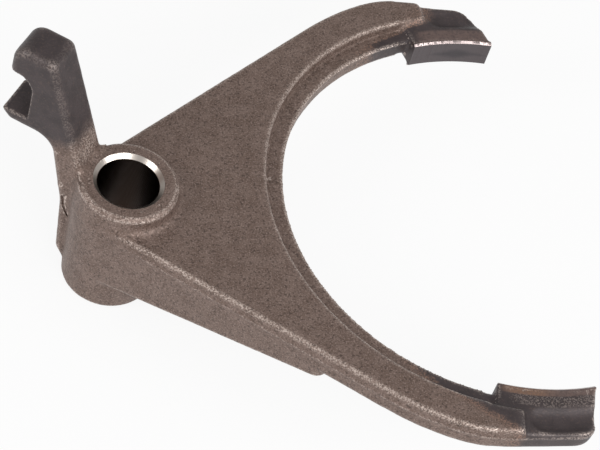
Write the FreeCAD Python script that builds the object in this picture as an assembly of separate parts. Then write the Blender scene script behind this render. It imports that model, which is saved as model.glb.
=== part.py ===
import FreeCAD, Part
import os
from collections import namedtuple
from math import asin, cos, degrees, radians, sin, sqrt, tan
from FreeCAD import Vector

os.makedirs("parts", exist_ok=True)

# Gearbox shift fork, forged in one piece.  Millimetres, +Z up along the rail bore, the origin on
# the bore axis in the hub's top face, +X from the bore to the axis of the sliding sleeve.

# rail bore and hub; the plate's flanks stand a little inside the hub's side, to cross it cleanly
BORE_D = 20.0
BORE_CHAMFER = 1.4
HUB_L = 47.5
HUB_WALL = 6.8
HUB_BEVEL = 1.2
FLANK_SET_IN = 0.15
BOSS_FILLET_R = 3.0

# fork plate: its top lies below the hub's, and round the sleeve its lower half stands in as a ledge
SLEEVE_X = 130.5
PLATE_TOP = 6.2
PLATE_T = 10.4
STEP_D = 3.9
LEDGE_R = 77.2
LEDGE_W = 6.0
DRAFT = 2.5
TOP_EDGE_R = 1.4
BOTTOM_EDGE_R = 2.2

# the prongs, one on each side: width of the rim outside the step, angle and radius at which the
# outer edge turns in, how far its last straight leans in, and the end's corner and reach past
# the sleeve's centre
Prong = namedtuple("Prong", "side rim_w turn turn_r lean corner_r reach")
PRONGS = [Prong(side=1, rim_w=12.9, turn=113.0, turn_r=36.0, lean=2.5, corner_r=9.0, reach=7.4),
          Prong(side=-1, rim_w=11.8, turn=113.0, turn_r=50.0, lean=0.0, corner_r=7.0, reach=10.7)]

# prong tips: a pad stands proud of the ledge to bear in the sleeve's groove, and behind it a round
# channel is dished out between pad and rim; PAD_START and PLATE_END are angles about the sleeve
PAD_PROUD = 3.7
PAD_T = 10.8
PAD_TOP = 8.4
PAD_DEPTH = 8.0
PAD_START = 105.4
PAD_NOSE = 2.2
PAD_CHAMFER = 0.8
TIP_EDGE_R = 1.2
PLATE_END = 99.3
DISH_R = 6.0
DISH_FLOOR = 10.6
DISH_BACK = 4.1
DISH_LEAD = 4.0
DISH_TURN = 40.0

# stiffening ribs under the two flanks: the keel starts above the hub's end and rises outwards
RIB_W = 8.0
RIB_REACH = 84.0
RIB_ABOVE_END = 12.2
RIB_SLOPE = 10.7
RIB_EDGE_R = 1.5

# selector arm: a blade standing on the hub, with the gate cut into its outer edge; its inner face is
# set back from the bore and leans outwards
ARM_ANGLE = 146.0
ARM_W = 14.5
ARM_TOP = 40.1
ARM_TIP = 43.6
ARM_SET_BACK = 3.3
ARM_LEAN = 16.1
ARM_CROWN_R = 3.0
ARM_ROOT_R = 3.5
ARM_NOSE_R = 5.0
ARM_EDGE_R = 2.4
GATE_FLOOR = 12.8
GATE_H = 17.0
GATE_DEPTH = 8.7
GATE_ROOF_R = 6.0
JAW_T = 4.6
JAW_NOSE = 2.4
JAW_NOSE_R = 2.0
THROAT_R = 7.0

# heel: the arm's outer edge below the jaw, as distances out from the hub's side and, at its low
# corner and its end, heights above the hub's end
HEEL_OUT = 9.5
HEEL_MID = 2.6
HEEL_MID_Z = 17.0
HEEL_MID_R = 20.0
HEEL_LOW = 0.8
HEEL_LOW_UP = 8.5
HEEL_LOW_R = 3.0
HEEL_SUNK = 4.8
HEEL_END_UP = 1.0

# blends where the arm's flat sides run into the round hub: radius at the top and at the heel, how
# deep the blend is set into both surfaces and, as a share of the way out, where its root lies
BLEND_TOP_R = 4.0
BLEND_LOW_R = 0.8
BLEND_SINK = 0.1
BLEND_ROOT = 0.8

# heights and radii that follow: the parting plane of the forging runs through the ledge
PART_Z = -(PLATE_TOP + STEP_D)
PLATE_FOOT_Z = -(PLATE_TOP + PLATE_T)
STEP_R = LEDGE_R + LEDGE_W
HUB_R = BORE_D / 2 + HUB_WALL
FLANK_R = HUB_R - FLANK_SET_IN
PAD_R = LEDGE_R - PAD_PROUD
PAD_FOOT_Z = -(PAD_TOP + PAD_T)
DISH_MID = PAD_R + PAD_DEPTH + DISH_BACK
RIB_ROOT_Z = HUB_L - RIB_ABOVE_END
ARM_FOOT = BORE_D / 2 + ARM_SET_BACK
ARM_CROWN = ARM_FOOT + ARM_LEAN
HEEL_LOW_Z = HUB_L - HEEL_LOW_UP
HEEL_END_Z = HUB_L - HEEL_END_UP
UP = Vector(0, 0, 1)
ORIGIN = Vector()

# a length well past the whole fork, for cutters, and the distance within which points count as one
BEYOND = 4 * (STEP_R + max(prong.rim_w for prong in PRONGS))
TOUCH = 1e-3


def drawn_in(height):
    """How far the draft sets a wall in at a height above or below the parting plane."""
    return abs(height) * tan(radians(DRAFT))


def at(r, angle, z=0.0):
    """Point at radius r and angle (degrees) about the sleeve's axis."""
    return Vector(SLEEVE_X + r * cos(radians(angle)), r * sin(radians(angle)), z)


def arc(a, b, c):
    return Part.Arc(a, b, c).toShape()


def line(a, b):
    return Part.LineSegment(a, b).toShape()


def unit(v):
    return v * (1 / v.Length)


def face(points):
    return Part.Face(Part.makePolygon(points + points[:1]))


def on_side(prong, shape):
    """A shape drawn for the +Y prong, moved to the prong's own side."""
    return shape if prong.side > 0 else shape.mirror(ORIGIN, Vector(0, 1, 0))


def edges_where(shape, test):
    """Edges that pass the test at both ends, halfway and at the quarters."""
    def passes(edge):
        span = edge.LastParameter - edge.FirstParameter
        return all(test(edge.valueAt(edge.FirstParameter + span * k / 4)) for k in range(5))
    return [edge for edge in shape.Edges if passes(edge)]


def level(z):
    return lambda p: abs(p.z - z) < TOUCH


def rounded(corners):
    """Closed wire through (point, radius) corners, each corner rounded to its radius."""
    edges, ends = [], []
    for i, (p, r) in enumerate(corners):
        a = unit(corners[i - 1][0] - p)
        b = unit(corners[(i + 1) % len(corners)][0] - p)
        half = a.getAngle(b) / 2
        start, end = p + a * (r / tan(half)), p + b * (r / tan(half))
        if r:
            edges.append(arc(start, p + unit(a + b) * (r / sin(half) - r), end))
        ends.append((start, end))
    for i, (start, _) in enumerate(ends):
        if (start - ends[i - 1][1]).Length > TOUCH:
            edges.append(line(ends[i - 1][1], start))
    return Part.Wire(Part.sortEdges(edges)[0])


def rim_r(prong):
    return STEP_R + prong.rim_w


def flank_angle(prong):
    """Angle of the flank, the straight edge from just inside the hub's side to the prong's rim."""
    return degrees(asin((rim_r(prong) - FLANK_R) / SLEEVE_X))


def end_x(prong):
    return SLEEVE_X + prong.reach


def half_outline(prong, inner_r, inset):
    """Outer edges of one prong, from the hub round the rim to the end, and their first and last points."""
    out, flank = rim_r(prong), flank_angle(prong)
    hub_point = Vector(-sin(radians(flank)), cos(radians(flank)), 0) * (FLANK_R - inset)
    rim_start = at(out - inset, 90 + flank)
    rim_mid = at(out - inset, (90 + flank + prong.turn) / 2)
    rim_end = at(out - inset, prong.turn)
    turn_centre = at(out - prong.turn_r, prong.turn)
    lean_way = Vector(sin(radians(prong.lean)), cos(radians(prong.lean)), 0)
    turn_mid = turn_centre + unit(unit(rim_end - turn_centre) + lean_way) * (prong.turn_r - inset)
    turn_end = turn_centre + lean_way * (prong.turn_r - inset)
    corner_x = end_x(prong) - prong.corner_r
    corner_y = (turn_centre.y + (prong.turn_r - prong.corner_r) / lean_way.y
                - (corner_x - turn_centre.x) * lean_way.x / lean_way.y)
    corner = Vector(corner_x, corner_y, 0)
    corner_r = prong.corner_r - inset
    corner_start = corner + lean_way * corner_r
    corner_mid = corner + unit(lean_way + Vector(1, 0, 0)) * corner_r
    corner_end = corner + Vector(corner_r, 0, 0)
    last = Vector(corner_end.x, sqrt((inner_r + inset) ** 2 - (corner_end.x - SLEEVE_X) ** 2), 0)
    edges = [line(hub_point, rim_start), arc(rim_start, rim_mid, rim_end),
             arc(rim_end, turn_mid, turn_end), line(turn_end, corner_start),
             arc(corner_start, corner_mid, corner_end), line(corner_end, last)]
    return [on_side(prong, e) for e in edges], hub_point, last


def fork_outline(inner_r, rise):
    """Outline of the whole plate at a height from the parting plane."""
    inset = drawn_in(rise)
    (left, hub_left, end_left), (right, hub_right, end_right) = [
        half_outline(prong, inner_r, inset) for prong in PRONGS]
    hub_right.y, end_right.y = -hub_right.y, -end_right.y
    inner = arc(end_left, at(inner_r + inset, 180), end_right)
    around_hub = arc(hub_right, Vector(inset - FLANK_R, 0, 0), hub_left)
    wire = Part.Wire(left + [inner] + right[::-1] + [around_hub])
    wire.translate(Vector(0, 0, PART_Z + rise))
    return wire


def plate_layer(inner_r, rise):
    """Plate between the parting plane and a height from it, its walls drafted."""
    return Part.makeLoft([fork_outline(inner_r, 0), fork_outline(inner_r, rise)], True, True)


def make_ledge():
    """Lower half of the plate, its outer bottom edge rounded and the sleeve's side left square."""
    layer = plate_layer(LEDGE_R, STEP_D - PLATE_T)
    outer = edges_where(layer, lambda p: level(PLATE_FOOT_Z)(p) and (p - at(0, 0, p.z)).Length > STEP_R)
    return layer.makeFillet(BOTTOM_EDGE_R, outer)


def past_plate_end(prong):
    """Space over the prong's tip, beyond the line where the stepped upper half ends."""
    wedge = face([at(0, 0, PART_Z)] + [at(BEYOND, a, PART_Z) for a in (0, PLATE_END / 2, PLATE_END)])
    return on_side(prong, wedge.extrude(UP * BEYOND))


def make_upper_plate():
    """Upper half of the plate, stepped back from the ledge and ending short of the tips."""
    layer = plate_layer(STEP_R, STEP_D)
    layer = layer.cut([past_plate_end(prong) for prong in PRONGS])
    return layer.makeFillet(TOP_EDGE_R, edges_where(layer, level(-PLATE_TOP)))


def hub_r_at(z):
    """The hub's drafted radius at a height."""
    return HUB_R - drawn_in(z - PART_Z)


def make_sharp_hub():
    """Hub as two frustums that meet at the parting plane, its end edges still sharp."""
    half = face([ORIGIN, Vector(hub_r_at(0), 0, 0), Vector(HUB_R, 0, PART_Z),
                 Vector(hub_r_at(-HUB_L), 0, -HUB_L), Vector(0, 0, -HUB_L)])
    return half.revolve(ORIGIN, UP, 360)


def bevel_ends(hub):
    return hub.makeChamfer(HUB_BEVEL, edges_where(hub, level(0)) + edges_where(hub, level(-HUB_L)))


def tip_zone(prong):
    """Plan of the prong's tip, from the pad's start to the slanted nose, as a tall block."""
    end = end_x(prong)
    plan = [at(0, 0), Vector(end + PAD_NOSE, 0, 0), Vector(end + PAD_NOSE, PAD_R, 0),
            Vector(end, PAD_R + PAD_DEPTH, 0), Vector(end, BEYOND, 0), at(BEYOND, PAD_START)]
    block = face(plan).extrude(UP * BEYOND)
    block.translate(Vector(0, 0, PAD_FOOT_Z))
    return block


def make_pad(prong):
    """Pad that bears on the sleeve's groove: a thick ring sector, its bearing edges chamfered."""
    foot = at(0, 0, PAD_FOOT_Z)
    ring = Part.makeCylinder(PAD_R + PAD_DEPTH, PAD_T, foot).cut(Part.makeCylinder(PAD_R, PAD_T, foot))
    edge = edges_where(ring, lambda p: abs((p - at(0, 0, p.z)).Length - PAD_R) < TOUCH
                       and (level(-PAD_TOP)(p) or level(PAD_FOOT_Z)(p)))
    ring = ring.makeChamfer(PAD_CHAMFER, edge)
    return on_side(prong, ring.common(tip_zone(prong)))


def make_tip(prong):
    """Prong end raised to the pad's height."""
    layer = plate_layer(PAD_R + PAD_CHAMFER, -PAD_TOP - PART_Z)
    layer = layer.makeFillet(TIP_EDGE_R, edges_where(layer, level(-PAD_TOP)))
    return layer.common(on_side(prong, tip_zone(prong)))


def make_dish(prong):
    """Cutter for the channel between pad and rim: a ball's path round the sleeve's axis."""
    start = PLATE_END - DISH_LEAD
    ball = at(DISH_MID, start, DISH_R - DISH_FLOOR)
    circle = Part.Circle(ball, Vector(-sin(radians(start)), cos(radians(start)), 0), DISH_R)
    path = Part.Face(Part.Wire(circle.toShape())).revolve(at(0, 0), -UP, DISH_TURN)
    return on_side(prong, path.fuse(Part.makeSphere(DISH_R, ball)))


def make_rib(prong):
    """Wall under the flank, tangent to the hub and running out to nothing at its far end."""
    flank = flank_angle(prong)
    along = Vector(cos(radians(flank)), sin(radians(flank)), 0)
    across = Vector(-along.y, along.x, 0)

    def section(z):
        inset = drawn_in(z - PART_Z)
        outer, inner, end = FLANK_R - inset, FLANK_R - RIB_W + inset, RIB_REACH - inset
        nose = (outer - inner) / 2
        a, b = across * outer, across * outer + along * (end - nose)
        c, d = across * inner + along * (end - nose), across * inner
        wire = Part.Wire([line(a, b), arc(b, across * (outer + inner) / 2 + along * end, c),
                          line(c, d), line(d, a)])
        wire.translate(Vector(0, 0, z))
        return wire

    wall = Part.makeLoft([section(PART_Z), section(-RIB_ROOT_Z)], True, True)
    root, slope = UP * -RIB_ROOT_Z, tan(radians(RIB_SLOPE))
    below = face([root, root + along * BEYOND, root + along * BEYOND + UP * BEYOND * slope])
    rib = wall.cut(below.extrude(across * BEYOND))
    nose = edges_where(rib, lambda p: abs(p.z - root.z - p.dot(along) * slope) < TOUCH
                       and p.dot(along) > TOUCH)
    # rounding the nose's lower edge carries on along both sides of the keel
    return on_side(prong, rib.makeFillet(RIB_EDGE_R, nose))


# the arm's own directions: outwards from the bore, and across its width
ARM_OUT = Vector(cos(radians(ARM_ANGLE)), sin(radians(ARM_ANGLE)), 0)
ARM_ACROSS = Vector(ARM_OUT.y, -ARM_OUT.x, 0)


def make_arm():
    """Selector arm: a side profile with the gate notched into it, extruded to the arm's width."""
    gate_r, gate_roof, jaw_z = ARM_TIP - GATE_DEPTH, GATE_FLOOR + GATE_H, GATE_FLOOR - JAW_T
    profile = rounded([(ARM_OUT * r + UP * z, corner_r) for r, z, corner_r in [
        (0, 0, 0), (ARM_FOOT, 0, 0), (ARM_CROWN, ARM_TOP, ARM_CROWN_R), (ARM_TIP, ARM_TOP, ARM_NOSE_R),
        (ARM_TIP, gate_roof, 0), (gate_r, gate_roof, GATE_ROOF_R), (gate_r, GATE_FLOOR, 0),
        (ARM_TIP, GATE_FLOOR, 0), (ARM_TIP, GATE_FLOOR - JAW_NOSE, 0),
        (ARM_TIP - JAW_NOSE, jaw_z, JAW_NOSE_R), (HUB_R + HEEL_OUT, jaw_z, THROAT_R),
        (HUB_R + HEEL_MID, -HEEL_MID_Z, HEEL_MID_R), (HUB_R + HEEL_LOW, -HEEL_LOW_Z, HEEL_LOW_R),
        (HUB_R - HEEL_SUNK, -HEEL_END_Z, 0), (0, -HEEL_END_Z, 0)]])
    arm = Part.Face(profile).extrude(ARM_ACROSS * ARM_W)
    arm.translate(ARM_ACROSS * (-ARM_W / 2))

    def on_rim(test):
        return edges_where(arm, lambda p: abs(abs(p.dot(ARM_ACROSS)) - ARM_W / 2) < TOUCH
                           and test(p.dot(ARM_OUT), p.z))

    def inside_crown(r, z):
        return z > -TOUCH and r < ARM_FOOT + (ARM_CROWN - ARM_FOOT) * z / ARM_TOP + TOUCH

    crown = on_rim(lambda r, z: z > gate_roof + TOUCH or inside_crown(r, z))
    belly = on_rim(lambda r, z: -HEEL_LOW_Z < z < jaw_z + TOUCH and r > HUB_R + HEEL_LOW - TOUCH)
    return arm.makeFillet(ARM_EDGE_R, crown).common(arm.makeFillet(ARM_EDGE_R, belly))


def root_on(hub, arm):
    """Hub and arm as one, with a fillet where the arm's inner face rises from the hub's top."""
    joined = hub.fuse(arm).removeSplitter()
    root = edges_where(joined, lambda p: level(0)(p) and p.dot(ARM_OUT) > ARM_FOOT - TOUCH
                       and abs(p.dot(ARM_ACROSS)) < ARM_W / 2 - TOUCH and p.Length < hub_r_at(0) - TOUCH)
    return joined.makeFillet(ARM_ROOT_R, root)


def arm_blend(hand):
    """Hollow blend down one side of the arm, where its flat side runs into the round hub."""
    def section(z):
        r = BLEND_TOP_R + (BLEND_LOW_R - BLEND_TOP_R) * (z + HUB_BEVEL) / (HUB_BEVEL - HEEL_LOW_Z)
        hub, flat = hub_r_at(z) - BLEND_SINK, ARM_W / 2 - BLEND_SINK
        reach = sqrt((hub + r) ** 2 - (flat + r) ** 2)
        centre = ARM_OUT * reach + ARM_ACROSS * hand * (flat + r)
        on_arm = ARM_OUT * reach + ARM_ACROSS * hand * flat
        on_hub = centre * (hub / (hub + r))
        middle = centre + unit((on_arm - centre) * (1 / r) + (on_hub - centre) * (1 / r)) * r
        inside = ARM_OUT * on_hub.dot(ARM_OUT) * BLEND_ROOT + ARM_ACROSS * hand * flat * BLEND_ROOT
        wire = Part.Wire([arc(on_arm, middle, on_hub), line(on_hub, inside), line(inside, on_arm)])
        wire.translate(UP * z)
        return wire

    return Part.makeLoft([section(z) for z in (-HUB_BEVEL, PART_Z, -HEEL_LOW_Z)], True, True)


def make_bore():
    """Cutter for the rail bore, flared at both ends for the chamfers."""
    r, c = BORE_D / 2, BORE_CHAMFER
    half = face([Vector(0, 0, c), Vector(r + 2 * c, 0, c), Vector(r, 0, -c), Vector(r, 0, c - HUB_L),
                 Vector(r + 2 * c, 0, -HUB_L - c), Vector(0, 0, -HUB_L - c)])
    return half.revolve(ORIGIN, UP, 360)


sharp_hub = make_sharp_hub()
plate = make_ledge().fuse([make_upper_plate(), bevel_ends(sharp_hub)] + [make_rib(p) for p in PRONGS])
boss_foot = edges_where(plate, lambda p: level(-PLATE_TOP)(p) and Vector(p.x, p.y, 0).Length < HUB_R)
plate = plate.makeFillet(BOSS_FILLET_R, boss_foot)

# the arm's root fillet needs the hub's sharp top, so the hub's bevel is cut again around the arm
arm, blends = make_arm(), [arm_blend(1), arm_blend(-1)]
tips = [make(prong) for prong in PRONGS for make in (make_pad, make_tip)]
body = plate.fuse([root_on(sharp_hub, arm)] + blends + tips)
hub_corners = sharp_hub.cut(bevel_ends(sharp_hub)).cut([arm] + blends)
body = body.cut([make_dish(prong) for prong in PRONGS] + [make_bore(), hub_corners]).removeSplitter()
body.exportStep("parts/fork_body.step")
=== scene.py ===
# %% [markdown]
# # A gearbox shift fork, forged in one piece
# A shift fork slides on a rail and pushes the sleeve that joins two gears. It is hammered out of
# a steel billet between two dies, blasted clean with steel shot, hardened where it rubs, and
# machined only in its bore and on its pads. This lesson puts that history on the surface.

# %% Load the frame
import math

import bpy
from mathutils import Matrix, Vector


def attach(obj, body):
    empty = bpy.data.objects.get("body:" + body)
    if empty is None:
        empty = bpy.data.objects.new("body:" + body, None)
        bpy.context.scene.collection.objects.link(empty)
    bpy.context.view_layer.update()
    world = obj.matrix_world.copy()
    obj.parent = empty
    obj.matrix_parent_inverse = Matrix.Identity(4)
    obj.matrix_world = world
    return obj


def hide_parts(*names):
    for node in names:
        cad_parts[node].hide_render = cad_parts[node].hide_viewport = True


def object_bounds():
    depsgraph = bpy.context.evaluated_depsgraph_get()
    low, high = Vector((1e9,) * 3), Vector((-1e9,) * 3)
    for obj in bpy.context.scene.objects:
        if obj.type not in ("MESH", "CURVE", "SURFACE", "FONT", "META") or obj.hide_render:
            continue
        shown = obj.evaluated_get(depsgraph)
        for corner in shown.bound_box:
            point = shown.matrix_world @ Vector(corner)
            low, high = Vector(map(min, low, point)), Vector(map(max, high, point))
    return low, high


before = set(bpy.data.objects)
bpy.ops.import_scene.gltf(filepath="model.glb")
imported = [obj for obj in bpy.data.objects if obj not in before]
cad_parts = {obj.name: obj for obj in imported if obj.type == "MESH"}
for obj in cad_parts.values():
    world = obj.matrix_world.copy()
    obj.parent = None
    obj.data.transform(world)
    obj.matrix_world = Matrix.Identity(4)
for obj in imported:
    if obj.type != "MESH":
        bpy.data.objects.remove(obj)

MM = 0.001
cad_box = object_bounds()
fork_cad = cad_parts["fork_body"]
print("CAD box, mm:", [[round(c / MM, 1) for c in corner] for corner in cad_box])

# %% [markdown]
# ## The camera
# The camera comes first, because every later choice is judged through it. It stands about 0.7 m
# off, above and in front of the hub, with a long lens, so that the fork is seen with little
# perspective. Its turn is given by its own right, up and back directions.

# %% Camera
CAMERA_AT = Vector((-133.38, -438.43, 532.07)) * MM
CAMERA_RIGHT = Vector((0.96408, -0.15156, 0.21812))
CAMERA_UP = Vector((-0.01612, 0.78632, 0.61761))
CAMERA_BACK = CAMERA_RIGHT.cross(CAMERA_UP)
LENS_MM = 133.12
SENSOR_MM = 36.0

camera = bpy.data.objects.new("camera", bpy.data.cameras.new("camera"))
bpy.context.scene.collection.objects.link(camera)
camera.data.lens = LENS_MM
camera.data.sensor_width = SENSOR_MM
turn = Matrix((CAMERA_RIGHT, CAMERA_UP, CAMERA_BACK)).transposed()
camera.matrix_world = Matrix.Translation(CAMERA_AT) @ turn.to_4x4()
bpy.context.scene.camera = camera
print("camera stands", round(CAMERA_AT.length, 3), "m from the bore")

# %% [markdown]
# ## The rough forging
# A fork like this starts as a bar of hot steel that two dies squeeze into shape. Its edges come
# out soft, because dies wear and because the scale is blasted off afterwards with steel shot. The
# CAD node has the right shape but edges as crisp as a drawing. It could be softened with a bevel,
# but its loose triangles make that unsafe, so a copy is merged and rebuilt as an even skin of small
# squares and drawn back onto the true surface. A later cell wears its edges down.

# %% Copy the node and rebuild its skin
SKIN_STEP = 0.42 * MM
MERGE_WITHIN = 0.001 * MM


def select_only(piece):
    bpy.ops.object.select_all(action="DESELECT")
    piece.select_set(True)
    bpy.context.view_layer.objects.active = piece


def apply_modifier(piece, kind, **settings):
    """Adds a modifier with these settings to the piece and applies it."""
    select_only(piece)
    modifier = piece.modifiers.new(kind.lower(), kind)
    for name, value in settings.items():
        setattr(modifier, name, value)
    bpy.ops.object.modifier_apply(modifier=modifier.name)


skin = bpy.data.objects.new("forged_fork", fork_cad.data.copy())
bpy.context.scene.collection.objects.link(skin)
select_only(skin)
bpy.ops.object.mode_set(mode="EDIT")
bpy.ops.mesh.select_all(action="SELECT")
bpy.ops.mesh.remove_doubles(threshold=MERGE_WITHIN)
bpy.ops.object.mode_set(mode="OBJECT")
apply_modifier(skin, "REMESH", mode="VOXEL", voxel_size=SKIN_STEP)
apply_modifier(skin, "SHRINKWRAP", target=fork_cad, wrap_method="NEAREST_SURFACEPOINT")
print("rough skin:", len(skin.data.polygons), "squares")

# %% [markdown]
# ## Where cutters passed
# Dies leave a soft, uneven surface and cutters leave a true one, so the script has to know which is
# which. The cut places are round: the bore about its own axis, and the pads about the axis of the
# sleeve that the fork moves. Their sizes are written once here, for the skin, the cutters and the
# colours alike. MACHINED_MARGIN is how far round a cut place the skin is left true as well.

# %% Sizes of the cut places
SLEEVE_X = 130.5 * MM
BORE_R = 10.0 * MM
BORE_CHAMFER = 1.4 * MM
HUB_L = 47.5 * MM
PAD_R = 73.5 * MM
PAD_CHAMFER = 0.8 * MM
PAD_TOP_Z = -8.4 * MM
PAD_T = 10.8 * MM
PAD_FOOT_Z = PAD_TOP_Z - PAD_T
MACHINED_MARGIN = 0.8 * MM
print("bore", round(2 * BORE_R / MM, 1), "mm, pads on", round(2 * PAD_R / MM, 1), "mm")

# %% [markdown]
# ## Vertex groups
# A vertex group is a list of vertices with a weight each, and a modifier that is given one works
# only as strongly as the weights say. Painting the weights by hand would be quick but hard to
# repeat, so three groups are filled by place and normal: the forged skin, the prong ends, where the
# dies were worn most, and the walls beside the plane where the two dies met.

# %% Groups by place
PARTING_Z = -10.1 * MM
RIDGE_HALF = 1.1 * MM
RIDGE_FROM_R = 17 * MM
RIDGE_RISE = 8 * MM
UPRIGHT = 0.35
WORN_DIE_X = 106 * MM


def group_of(piece, name, weight_at):
    """Vertex group whose weight at each vertex comes from its place and normal."""
    group = piece.vertex_groups.new(name=name)
    for vertex in piece.data.vertices:
        weight = weight_at(vertex.co, vertex.normal)
        if weight > 0:
            group.add([vertex.index], weight, "REPLACE")
    return group.name


def as_forged(co, normal):
    """1 on the forged surface and 0 beside the bore and the pads."""
    by_bore = math.hypot(co.x, co.y) < BORE_R + BORE_CHAMFER + MACHINED_MARGIN
    by_pad = math.hypot(co.x - SLEEVE_X, co.y) < PAD_R + PAD_CHAMFER + MACHINED_MARGIN
    return 0.0 if by_bore or by_pad else 1.0


def near_tips(co, normal):
    """1 on the forged surface of the prong ends, whose die was worn most."""
    return as_forged(co, normal) if co.x > WORN_DIE_X else 0.0


def on_parting(co, normal):
    """Rises to 1 at the parting plane, on upright walls away from the hub."""
    near = 1.0 - abs(co.z - PARTING_Z) / RIDGE_HALF
    off_hub = min(1.0, max(0.0, (math.hypot(co.x, co.y) - RIDGE_FROM_R) / RIDGE_RISE))
    return max(0.0, near) * off_hub * as_forged(co, normal) if abs(normal.z) < UPRIGHT else 0.0


forged_group = group_of(skin, "forged", as_forged)
tip_group = group_of(skin, "tips", near_tips)
parting_group = group_of(skin, "parting", on_parting)
print("groups:", [group.name for group in skin.vertex_groups])

# %% [markdown]
# ## What the dies left behind
# Three marks tell that this was forged. The surface is never quite even, the edges are soft, and a
# low ridge runs round the walls where the squeezed-out flash was trimmed off. All could be painted
# on, but then the outline would stay perfect, so Displace and Smooth move the surface itself. The
# ridge comes after the smoothing, which would wipe it out, and Decimate then thins the faces.

# %% Unevenness, soft edges and the parting ridge
UNEVEN_SIZE = 3.2 * MM
UNEVEN_HEIGHT = 0.16 * MM
UNEVEN_MID = 0.6
EDGE_WEAR = 9
TIP_WEAR = 60
RIDGE_HEIGHT = 0.22 * MM
FACES_KEPT = 0.33

uneven = bpy.data.textures.new("uneven", "CLOUDS")
uneven.noise_scale = UNEVEN_SIZE
uneven.noise_depth = 2
apply_modifier(skin, "DISPLACE", texture=uneven, texture_coords="LOCAL", strength=UNEVEN_HEIGHT,
               mid_level=UNEVEN_MID, vertex_group=forged_group)
apply_modifier(skin, "SMOOTH", factor=0.5, iterations=EDGE_WEAR, vertex_group=forged_group)
apply_modifier(skin, "SMOOTH", factor=0.5, iterations=TIP_WEAR, vertex_group=tip_group)
apply_modifier(skin, "DISPLACE", strength=RIDGE_HEIGHT, mid_level=0.0, vertex_group=parting_group)
apply_modifier(skin, "DECIMATE", decimate_type="COLLAPSE", ratio=FACES_KEPT)
print("after the dies:", len(skin.data.polygons), "faces")

# %% [markdown]
# ## Cutting and adding
# What follows is done with plain primitives and the Boolean modifier, which gives edges far crisper
# than a skin of small squares can hold. A round cutter is a cone primitive with both its radii
# given, so one helper makes cylinders and countersinks alike.

# %% Boolean helpers


def cut_with(cutter, operation="DIFFERENCE"):
    """Takes the cutter's volume off the fork, or adds it, and removes the cutter."""
    apply_modifier(skin, "BOOLEAN", operation=operation, object=cutter, solver="MANIFOLD")
    bpy.data.objects.remove(cutter)


def round_cutter(centre_x, low_z, high_z, low_r, high_r, facets):
    """An upright cylinder or cone between two heights."""
    bpy.ops.object.select_all(action="DESELECT")
    bpy.ops.mesh.primitive_cone_add(vertices=facets, radius1=low_r, radius2=high_r,
                                    depth=high_z - low_z,
                                    location=(centre_x, 0, (low_z + high_z) / 2))
    return bpy.context.object


print("helpers ready")

# %% [markdown]
# ## A lap in the heel
# Where hot metal folds over itself in the die it doesn't weld, and a thin crooked slit stays, which
# is called a lap. This fork has a small one on the side of its heel. It could be a dark line in the
# material, but a slit has depth, so three short thin cylinders, end to end, are cut out.

# %% The lap
LAP_R = 0.6 * MM
LAP_POINTS = [Vector(p) * MM for p in ((-18.9, 4.4, -13.6), (-18.2, 3.9, -17.3),
                                       (-16.9, 3.0, -20.4), (-15.2, 1.9, -22.3))]

for start, end in zip(LAP_POINTS, LAP_POINTS[1:]):
    along = end - start
    bpy.ops.object.select_all(action="DESELECT")
    bpy.ops.mesh.primitive_cylinder_add(vertices=12, radius=LAP_R, depth=along.length + LAP_R,
                                        location=(start + end) / 2,
                                        rotation=along.to_track_quat("Z", "Y").to_euler())
    cut_with(bpy.context.object)
print("lap of", len(LAP_POINTS) - 1, "cuts")

# %% [markdown]
# ## Machining
# Only a few places are cut after forging: the bore is drilled and countersunk at both ends, and the
# pads are turned to the radius of the groove that they run in. The same order is followed here. The
# hub is first filled again with a solid plug, as it was before drilling, so that no rounded rim of
# the skin is left. The cutters are a hair larger than the forged shape, and have many facets.

# %% Drill the bore and turn the pads
HAIR = 0.08 * MM
CLEAR = 20 * MM
BORE_FACETS = 192
PAD_FACETS = 720


def machine(centre_x, radius, top_z, foot_z, chamfer, facets):
    """Cuts a round hole through the fork, and a 45 degree chamfer at its top and foot."""
    reach = chamfer + HAIR
    wide = radius + 2 * reach
    cut_with(round_cutter(centre_x, foot_z - CLEAR, CLEAR, radius + HAIR, radius + HAIR, facets))
    cut_with(round_cutter(centre_x, top_z - reach, top_z + reach, radius, wide, facets))
    cut_with(round_cutter(centre_x, foot_z - reach, foot_z + reach, wide, radius, facets))


plug_r = BORE_R + BORE_CHAMFER + MACHINED_MARGIN / 2
cut_with(round_cutter(0, -HUB_L, 0, plug_r, plug_r, BORE_FACETS), "UNION")
machine(0, BORE_R, 0, -HUB_L, BORE_CHAMFER, BORE_FACETS)
machine(SLEEVE_X, PAD_R, PAD_TOP_Z, PAD_FOOT_Z, PAD_CHAMFER, PAD_FACETS)
print("machined:", len(skin.data.polygons), "faces")

# %% [markdown]
# ## Shading and handing over
# Smooth shading hides the small faces, but it must stop at the cut edges, which are 45 degrees
# and more. Shading by angle does that, with a limit a little below them. The last two calls hide
# the CAD node that this mesh stands in for and attach the mesh to the body it moves with.

# %% Shade and hand to the frame
SHARP_FROM = 34

select_only(skin)
bpy.ops.object.shade_smooth_by_angle(angle=math.radians(SHARP_FROM))
skin.data.calc_loop_triangles()
print("finished skin:", len(skin.data.loop_triangles), "triangles")
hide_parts("fork_body")
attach(skin, "root")

# %% [markdown]
# ## Writing shader maths
# A material is a graph of nodes. Written as Python it stays readable if a socket can be added,
# multiplied and compared like a number, so one small class wraps a socket and does just that.

# %% The socket class


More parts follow.
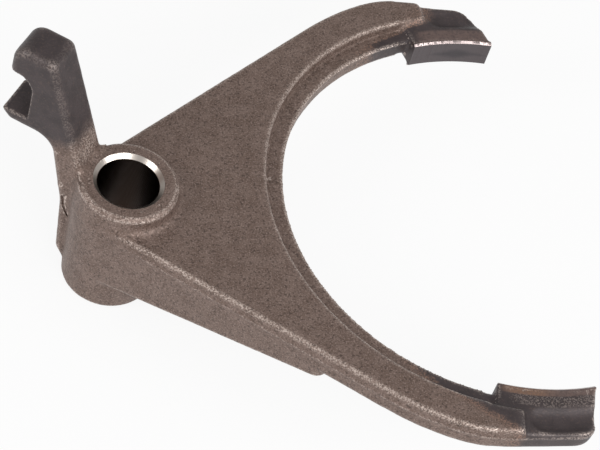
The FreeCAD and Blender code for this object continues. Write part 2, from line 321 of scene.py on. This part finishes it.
class Socket:
    """A node's output that can be used in an expression."""

    tree = None

    def __init__(self, link):
        self.link = link

    @classmethod
    def node(cls, kind, settings=(), output=0, **inputs):
        """Adds a node, sets it up, then fills its sockets with values or links."""
        made = cls.tree.nodes.new(kind)
        for name, value in dict(settings).items():
            setattr(made, name, value)
        for name, value in inputs.items():
            key = int(name[1:]) if name[0] == "i" and name[1:].isdigit() else name.replace("_", " ")
            if isinstance(value, Socket):
                cls.tree.links.new(value.link, made.inputs[key])
            else:
                made.inputs[key].default_value = value
        return cls(made.outputs[output]) if made.outputs else None

    def maths(self, operation, other=0.0, third=0.0):
        return Socket.node("ShaderNodeMath", {"operation": operation}, i0=self, i1=other, i2=third)

    def __add__(self, other):
        return self.maths("ADD", other)

    def __radd__(self, other):
        return self.maths("ADD", other)

    def __sub__(self, other):
        return self.maths("SUBTRACT", other)

    def __rsub__(self, other):
        return self.maths("MULTIPLY_ADD", -1.0, other)

    def __mul__(self, other):
        return self.maths("MULTIPLY", other)

    def __rmul__(self, other):
        return self.maths("MULTIPLY", other)

    def __truediv__(self, other):
        return self.maths("DIVIDE", other)

    def __abs__(self):
        return self.maths("ABSOLUTE")

    def ramp(self, low, high):
        """0 below low, 1 above high, and a smooth step between."""
        return Socket.node("ShaderNodeMapRange", {"interpolation_type": "SMOOTHSTEP"},
                           Value=self, From_Min=low, From_Max=high)


def noise(where, size_mm, detail=2.0, roughness=0.5):
    """Noise from 0 to 1 with features of about this size."""
    return Socket.node("ShaderNodeTexNoise", Vector=where, Scale=1 / (size_mm * MM), Detail=detail,
                       Roughness=roughness)


def blend(factor, a, b):
    """Colour a where the factor is 0 and b where it is 1."""
    return Socket.node("ShaderNodeMix", {"data_type": "RGBA"}, output=2, i0=factor, i6=a, i7=b)


print("socket class ready")

# %% [markdown]
# ## The forging's finish
# One surface carries several histories. Most of it is shot-blasted and lightly oxidised: brown
# grey, full of fine pits, with tiny bright facets where shot struck, most of all along edges. The
# prong ends and the selector arm were heated for hardening, which left a dark, smoother scale with
# an orange fringe. The bore, its countersinks and the pads are cut metal. Each history is a mask
# from 0 to 1 made from the place on the fork, and the colours are laid over each other in the
# order in which the real ones were.

# %% Places on the fork
finish = bpy.data.materials.new("blasted forging")
finish.use_nodes = True
tree = finish.node_tree
tree.nodes.clear()
Socket.tree = tree

OBJECT_PLACE = 3     # the Object output of Texture Coordinate
POINTEDNESS = 7      # the Pointiness output of Geometry: 0.5 where flat, more on outer edges
place = Socket.node("ShaderNodeTexCoord", output=OBJECT_PLACE)
split = tree.nodes.new("ShaderNodeSeparateXYZ")
tree.links.new(place.link, split.inputs[0])
x, y, z = (Socket(split.outputs[i]) for i in range(3))
bore_distance = (x * x + y * y).maths("SQRT")
from_sleeve = x - SLEEVE_X
sleeve_distance = (from_sleeve * from_sleeve + y * y).maths("SQRT")
edge = Socket.node("ShaderNodeNewGeometry", output=POINTEDNESS)
far_prong = y.maths("GREATER_THAN", 0.0)
print("places ready")

# %% [markdown]
# ## Grain
# Blasted steel shows grain at three scales: pits the size of the shot, a finer sparkle inside
# them, and slow stains many times larger. Three noises give them, and a fourth bends the
# boundaries of the hardened zones so that none runs straight.

# %% Noises
pits = noise(place, 0.8, 2.0, 0.6)
sparkle = noise(place, 0.52, 1.0, 0.6)
mottle = noise(place, 5.0, 3.0, 0.6)
wander = noise(place, 10.0, 3.0, 0.6) - 0.5
print("four noises made")

# %% [markdown]
# ## Where the prongs were heated
# Heat spread from the prong ends and from the top of the arm, so these boundaries are wide and
# wander. A simple cut across in X would look like paint. On the real prongs the heat reached
# further along the thin inner ledge than along the thick rim, so the boundary leans: the further
# out from the sleeve, the later it comes. The two prongs were not heated quite alike.

# %% Prong heat masks
HEAT_X = 94 * MM                # where the near prong starts to darken
FAR_HEAT_LATER = 17 * MM        # how much later the far one does, except on its ledge
LEDGE_HEAT_EARLIER = 16 * MM
RIM_R = 84 * MM                 # radius about the sleeve at which the rim begins
HEAT_LEAN, FAR_HEAT_LEAN_LESS = 2.0, 1.2
HEAT_WANDER = 18 * MM
HEAT_FADE = (-4 * MM, 7 * MM)
LEDGE_FADE = (80 * MM, 83 * MM)

on_ledge = 1.0 - sleeve_distance.ramp(*LEDGE_FADE)
tip_start = far_prong * (on_ledge * -LEDGE_HEAT_EARLIER + FAR_HEAT_LATER) + HEAT_X
outwards = (sleeve_distance - RIM_R) * (HEAT_LEAN - far_prong * FAR_HEAT_LEAN_LESS)
towards_tip = (x - tip_start - outwards + wander * HEAT_WANDER).ramp(*HEAT_FADE)
fringe = towards_tip * (1.0 - towards_tip) * 4.0     # a bell, highest halfway through the step
print("prong heat masks made")

# %% [markdown]
# ## The heated arm
# The arm stands on the side of the hub away from the prongs, so a step on minus X keeps its masks
# off the rest. Its heat boundary is a height that falls with the distance from the bore. Below
# it, the root of the arm gets a bright speckled patch: partly bare facets that the shot left,
# partly a painted highlight where the root faces the lamps.

# %% Arm masks
ARM_FROM_R = 20 * MM
ARM_LEAN = 0.45
ARM_WANDER = 12 * MM
ARM_FADE = (6 * MM, 15 * MM)
ARM_SIDE = (4 * MM, 9 * MM)
ROOT_WANDER = 8 * MM
ROOT_HEIGHT = (1 * MM, 5 * MM)
ROOT_FROM, ROOT_TO = (8 * MM, 12 * MM), (14 * MM, 19 * MM)

behind = 0.0 - x
up_arm = (z + (bore_distance - ARM_FROM_R) * ARM_LEAN + wander * ARM_WANDER).ramp(*ARM_FADE)
up_arm = up_arm * behind.ramp(*ARM_SIDE)
hardened = towards_tip.maths("MAXIMUM", up_arm)
# the arm's root: the shot's bright speckle mixed with a painted highlight
root_speckle_and_highlight = (z + wander * ROOT_WANDER).ramp(*ROOT_HEIGHT) * behind.ramp(*ROOT_FROM)
root_speckle_and_highlight = root_speckle_and_highlight * (1.0 - up_arm) * (1.0 - behind.ramp(*ROOT_TO))
print("arm masks made")

# %% [markdown]
# ## Where it was cut
# A cutter's mark has a sharp boundary, so these steps are less than a tenth of a millimetre wide.
# Each one starts a little past the cut surface, because a step that starts right on it would let
# the forged colour through in specks. The pads only exist near the prong ends, so their masks are
# also kept there.

# %% Cut masks
TIP_X = 104 * MM                # the prong ends begin here
BRIM_INSIDE = 0.06 * MM         # how far the pads' bright chamfers reach inwards from their edges

sink_r = BORE_R + BORE_CHAMFER + HAIR
line_r = PAD_R + PAD_CHAMFER + HAIR
pad_middle = PAD_TOP_Z - PAD_T / 2
in_bore = 1.0 - bore_distance.ramp(BORE_R + HAIR + 0.01 * MM, BORE_R + HAIR + 0.07 * MM)
in_sink = (1.0 - bore_distance.ramp(sink_r - 0.03 * MM, sink_r + 0.05 * MM)) - in_bore
on_tip = (x - TIP_X).ramp(0.0, 1 * MM)
pad_face = (1.0 - sleeve_distance.ramp(PAD_R + HAIR + 0.03 * MM, PAD_R + HAIR + 0.09 * MM)) * on_tip
brim = PAD_T / 2 - PAD_CHAMFER
near_brim = abs(z - pad_middle).ramp(brim - BRIM_INSIDE, brim)
pad_line = (1.0 - sleeve_distance.ramp(line_r - 0.05 * MM, line_r + 0.05 * MM)) * on_tip
pad_line = pad_line * (1.0 - pad_face) * near_brim
print("cut masks made")

# %% [markdown]
# ## Where it has run
# The sleeve rubs the middle of each pad, which shows as a darker oval. Beside each pad is a narrow
# land, browned by heat, and on the near prong it is burnt towards orange and followed by a rounded
# brow, painted brighter: partly the shot's speckle, partly a painted highlight where the ridge
# faces the lamps. The land is measured outwards from the pad, and it is made narrower on the near
# prong, to leave room for the brow.

# %% Wear and land masks
WEAR_X = 128 * MM
WEAR_BELOW_MIDDLE = 0.5 * MM
WEAR_STRETCH = 0.28             # the oval is about this much as high as it is long
WEAR_FADE = (0.8 * MM, 3.4 * MM)
NEAR_LAND = 0.55                # width of the near prong's land, as a share of the far one's
LAND_START, LAND_EDGE = (110 * MM, 116 * MM), (5.4 * MM, 6.8 * MM)
BURNT_END = (122 * MM, 132 * MM)
BROW_X = 112 * MM
BROW_INNER, BROW_OUTER = (5.6 * MM, 7 * MM), (12 * MM, 14 * MM)
LAND_FOOT, BROW_FOOT = -9.4 * MM, -10.2 * MM     # below these heights lies the dish

from_middle = abs(z - pad_middle + WEAR_BELOW_MIDDLE) + abs(x - WEAR_X) * WEAR_STRETCH
wear_spot = pad_face * (1.0 - (from_middle + wander * (3 * MM)).ramp(*WEAR_FADE))
near_prong = 1.0 - far_prong
land_w = (sleeve_distance - PAD_R) / (far_prong * (1.0 - NEAR_LAND) + NEAR_LAND)
land_start = (x + wander * (6 * MM)).ramp(*LAND_START)
pad_land = (1.0 - land_w.ramp(*LAND_EDGE)) * land_start * (z - LAND_FOOT).ramp(0.0, 0.4 * MM)
burnt = pad_land * near_prong * (1.0 - (x + wander * (12 * MM)).ramp(*BURNT_END))
# the near prong's rounded brow: the shot's speckle mixed with a painted highlight
brow_speckle_and_highlight = land_w.ramp(*BROW_INNER) * (1.0 - land_w.ramp(*BROW_OUTER)) * near_prong
brow_speckle_and_highlight = brow_speckle_and_highlight * (x - BROW_X).ramp(0.0, 6 * MM) * (z - BROW_FOOT).ramp(0.0, 0.8 * MM)
print("wear masks made")

# %% [markdown]
# ## Bright facets
# Shot strikes outer edges hardest and leaves them speckled with bare metal. Blender's Pointiness
# finds such edges, so no edge has to be marked by hand. It also finds the crisp edges that the
# cutters left, which are shown by their own colours, so those places are masked out.

# %% Facet mask
POINTED = (0.502, 0.53)

near_cutter = (1.0 - sleeve_distance.ramp(PAD_R + 1.1 * MM, PAD_R + 1.8 * MM)) * on_tip
clear_of_bore = bore_distance.ramp(sink_r + 0.9 * MM, sink_r + 1.5 * MM)
worn = edge.ramp(*POINTED) * clear_of_bore * (1.0 - near_cutter)
facets = worn * (sparkle.ramp(0.42, 0.60) * 0.85 + 0.10)
facets = facets * (1.0 - up_arm * 0.6) * (1.0 - towards_tip * 0.3)
print("facet mask made")

# %% [markdown]
# ## Colours
# The blasted brown comes first, darker in the pits and paler on the facets. Over it go the scale
# with its fringe, the lands, the bright wear along edges, painted highlights on the arm root and
# the near brow and, last, the cut metal, with painted shade in the deep bore. The layers are a
# list of a mask and a colour, in the order in which they are laid.

# %% Colours
BROWN = (0.156, 0.105, 0.084, 1)
PALE_BROWN = (0.340, 0.252, 0.218, 1)
DARK_PIT = (0.048, 0.031, 0.025, 1)
SCALE_GREY = (0.062, 0.047, 0.048, 1)
DEEP_SCALE = (0.034, 0.026, 0.027, 1)
STRAW = (0.260, 0.140, 0.080, 1)
ORANGE = (0.42, 0.23, 0.15, 1)
LAND_BROWN = (0.165, 0.112, 0.098, 1)
# pale bare metal of the shot's facets, also laid as a painted highlight on the arm root and the
# near brow
FACET_AND_HIGHLIGHT = (0.66, 0.55, 0.49, 1)
BARE_STEEL = (0.60, 0.54, 0.49, 1)
BRIM_STEEL = (0.36, 0.30, 0.29, 1)
# painted shade: the bore's cut steel is coloured near black for the shade inside the deep hole
BORE_PAINTED_SHADE = (0.030, 0.013, 0.006, 1)
PAD_GREY = (0.085, 0.070, 0.073, 1)
WORN_PAD = (0.040, 0.034, 0.038, 1)

blasted = blend(mottle.ramp(0.3, 0.7) * 0.3, BROWN, PALE_BROWN)
blasted = blend((1.0 - pits.ramp(0.32, 0.52)) * 0.7, blasted, DARK_PIT)
blasted = blend(sparkle.ramp(0.52, 0.68) * 0.65, blasted, PALE_BROWN)
scale = blend(mottle.ramp(0.35, 0.7) * 0.6, SCALE_GREY, DEEP_SCALE)
scale = blend(pits.ramp(0.52, 0.75) * 0.30, scale, BROWN)
colour = blend(hardened, blasted, scale)
LAYERS = (
    (fringe * sparkle.ramp(0.44, 0.60) * 0.38, ORANGE),
    # painted highlight on the arm's root, broken up by the shot's speckle
    (root_speckle_and_highlight * sparkle.ramp(0.42, 0.62) * 0.5, FACET_AND_HIGHLIGHT),
    (pad_land * (pits.ramp(0.30, 0.58) * 0.45 + 0.40), LAND_BROWN),
    (burnt * (sparkle.ramp(0.36, 0.60) * 0.40 + 0.25), STRAW),
    # painted highlight along the near brow, broken up by the shot's speckle
    (brow_speckle_and_highlight * sparkle.ramp(0.44, 0.64) * 0.22, FACET_AND_HIGHLIGHT),
    (facets, FACET_AND_HIGHLIGHT),
    (pad_face, PAD_GREY),
    (wear_spot * 0.8, WORN_PAD),
    (pad_line, BRIM_STEEL),
    # painted shade inside the deep bore
    (in_bore, BORE_PAINTED_SHADE),
    (in_sink, BARE_STEEL),
)
for mask, layer in LAYERS:
    colour = blend(mask, colour, layer)
print(len(LAYERS), "layers laid over the blasted brown and the scale")

# %% [markdown]
# ## Roughness, metal and relief
# Oxide and scale are dull and hardly metallic, bare facets and cut metal are both bright and
# metallic. The pits also tilt the surface, through a bump, which is what makes blasted steel
# glitter where it faces a lamp. Scale fills them in part, and the cutters took them away. The drill
# left fine rings in the bore.

# %% Shader
RING_STEP = 0.55 * MM
RELIEF_DEPTH = 0.22 * MM

cut = (in_bore + in_sink + pad_line).maths("MINIMUM", 1.0)
rough = (0.50 - hardened * 0.04 - facets * 0.14) * (1.0 - cut) + cut * 0.3
metal = (0.42 - hardened * 0.12) * (1.0 - cut) + cut
metal = metal.maths("MAXIMUM", facets * 0.9)
rings = (z * (2 * math.pi / RING_STEP)).maths("SINE") * 0.12 * in_bore
relief = (pits * 0.8 + sparkle * 0.5) * (1.0 - cut) * (1.0 - pad_face * 0.85)
relief = relief * (1.0 - hardened * 0.45) + rings
bump = Socket.node("ShaderNodeBump", Strength=0.75, Distance=RELIEF_DEPTH, Height=relief)
surface = Socket.node("ShaderNodeBsdfPrincipled", Base_Color=colour, Roughness=rough,
                      Metallic=metal, Normal=bump)
Socket.node("ShaderNodeOutputMaterial", Surface=surface)
skin.data.materials.clear()
skin.data.materials.append(finish)
print("finish has", len(tree.nodes), "nodes")

# %% [markdown]
# ## Floor and backdrop
# The fork lies above a pale floor. A floor that is only matt would turn grey at the back, so what
# the camera and the metal see of it is mostly a plain white glow, and the rest is matt and takes
# the fork's soft shadow.

# %% Floor
FLOOR_GAP = 0.5 * MM
FLOOR_Z = cad_box[0].z - FLOOR_GAP
FLOOR_SIDE = 6
FLOOR_GLOW = 0.9
FLOOR_GREY = (0.8, 0.8, 0.8, 1)
WHITE = (1, 1, 1, 1)

bpy.ops.object.select_all(action="DESELECT")
bpy.ops.mesh.primitive_plane_add(size=FLOOR_SIDE, location=(0, 0, FLOOR_Z))
floor = bpy.context.object
floor.name = "floor"
floor_look = bpy.data.materials.new("pale floor")
floor_look.use_nodes = True
tree = floor_look.node_tree
tree.nodes.clear()
Socket.tree = tree
rays = tree.nodes.new("ShaderNodeLightPath")
seen = Socket(rays.outputs["Is Camera Ray"])
for kind in ("Is Glossy Ray", "Is Transmission Ray"):
    seen = seen.maths("MAXIMUM", Socket(rays.outputs[kind]))
matt = Socket.node("ShaderNodeBsdfDiffuse", Color=FLOOR_GREY)
white = Socket.node("ShaderNodeEmission", Color=WHITE, Strength=1.0)
mixed = Socket.node("ShaderNodeMixShader", i0=seen * FLOOR_GLOW, i1=matt, i2=white)
Socket.node("ShaderNodeOutputMaterial", Surface=mixed)
floor.data.materials.append(floor_look)
print("floor at", round(FLOOR_Z / MM, 1), "mm")

# %% [markdown]
# ## World
# A plain white world gives the even light of a studio with pale walls. It is kept low, so that the
# lamps can still shape the metal.

# %% World
WORLD_LEVEL = 0.5
world = bpy.data.worlds.new("studio")
bpy.context.scene.world = world
world.use_nodes = True
sky = world.node_tree.nodes["Background"].inputs
sky["Color"].default_value = WHITE
sky["Strength"].default_value = WORLD_LEVEL
print("world at", WORLD_LEVEL)

# %% [markdown]
# ## Lamps
# Steel looks like steel only if it has something bright and something dark to mirror. Two small
# softboxes, left and right of the camera, put the two highlights on the countersink. A larger one
# above the camera lights the front walls and glitters on the fillets that face it.

# %% Softboxes
AIM = Vector((50 * MM, 0, 0))


def softbox(name, towards, distance, size, power):
    """A square area lamp that looks at the middle of the fork."""
    lamp = bpy.data.objects.new(name, bpy.data.lights.new(name, "AREA"))
    bpy.context.scene.collection.objects.link(lamp)
    lamp.data.shape = "SQUARE"
    lamp.data.size = size
    lamp.data.energy = power
    lamp.location = AIM + Vector(towards).normalized() * distance
    lamp.rotation_euler = (AIM - lamp.location).to_track_quat("-Z", "Y").to_euler()


softbox("left softbox", (-0.79, -0.20, 0.52), 1.1, 0.35, 3.0)
softbox("right softbox", (0.71, -0.48, 0.46), 1.1, 0.35, 3.0)
softbox("front softbox", (0.19, -0.78, 0.60), 1.25, 0.6, 6.5)
bpy.context.scene.view_settings.view_transform = "Standard"
print("three softboxes hung")
